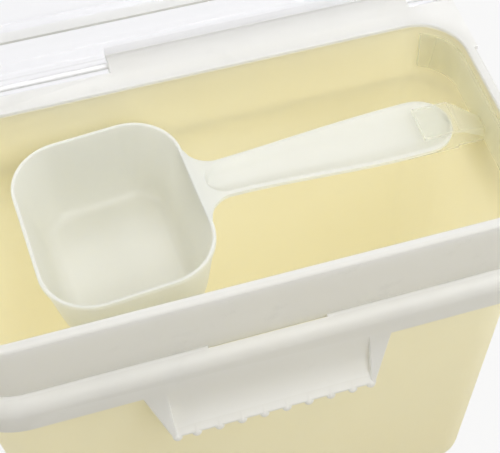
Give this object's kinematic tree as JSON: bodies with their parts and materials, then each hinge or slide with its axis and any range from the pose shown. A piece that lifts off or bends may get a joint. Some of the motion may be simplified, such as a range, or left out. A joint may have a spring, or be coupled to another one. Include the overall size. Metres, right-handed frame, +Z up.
{
  "type": "pet food bin",
  "caption": "Deep rectangular dry-food bin with a white collar frame, clear hinged lid with gasket, front grip tab, and a measuring scoop clipped inside.",
  "frame": {"origin": "centre of the tub's base, on the floor", "axes": "+X to the bin's right, +Y to the hinge at the back, +Z up; the grip tab faces -Y"},
  "size_m": [0.276, 0.1881, 0.399],
  "materials": {
    "ivory_plastic": "satin, slightly translucent",
    "white_plastic": "satin gloss",
    "clear_plastic": "clear, polished",
    "gasket_rubber": "soft, translucent grey-white",
    "pin_plastic": "satin gloss",
    "scoop_plastic": "satin gloss, slightly translucent",
    "frosted_plastic": "frosted, translucent"
  },
  "bodies": {
    "bin": {"tub": "ivory_plastic", "rim_frame": "white_plastic", "scoop_holder": "frosted_plastic", "hinge_pin_left": "pin_plastic", "hinge_pin_right": "pin_plastic"},
    "lid": {"lid": "clear_plastic", "lid_gasket": "gasket_rubber"},
    "scoop": {"scoop": "scoop_plastic"}
  },
  "joints": [
    {"name": "lid_hinge", "type": "hinge", "parent": "bin", "child": "lid", "pos_m": [0, 0.0784, 0.2454], "axis": [1, 0, 0], "range_deg": [0, 95]},
    {"name": "scoop_slide", "type": "slide", "parent": "bin", "child": "scoop", "axis": [-1, 0, 0], "range_m": [0, 0.02]}
  ]
}
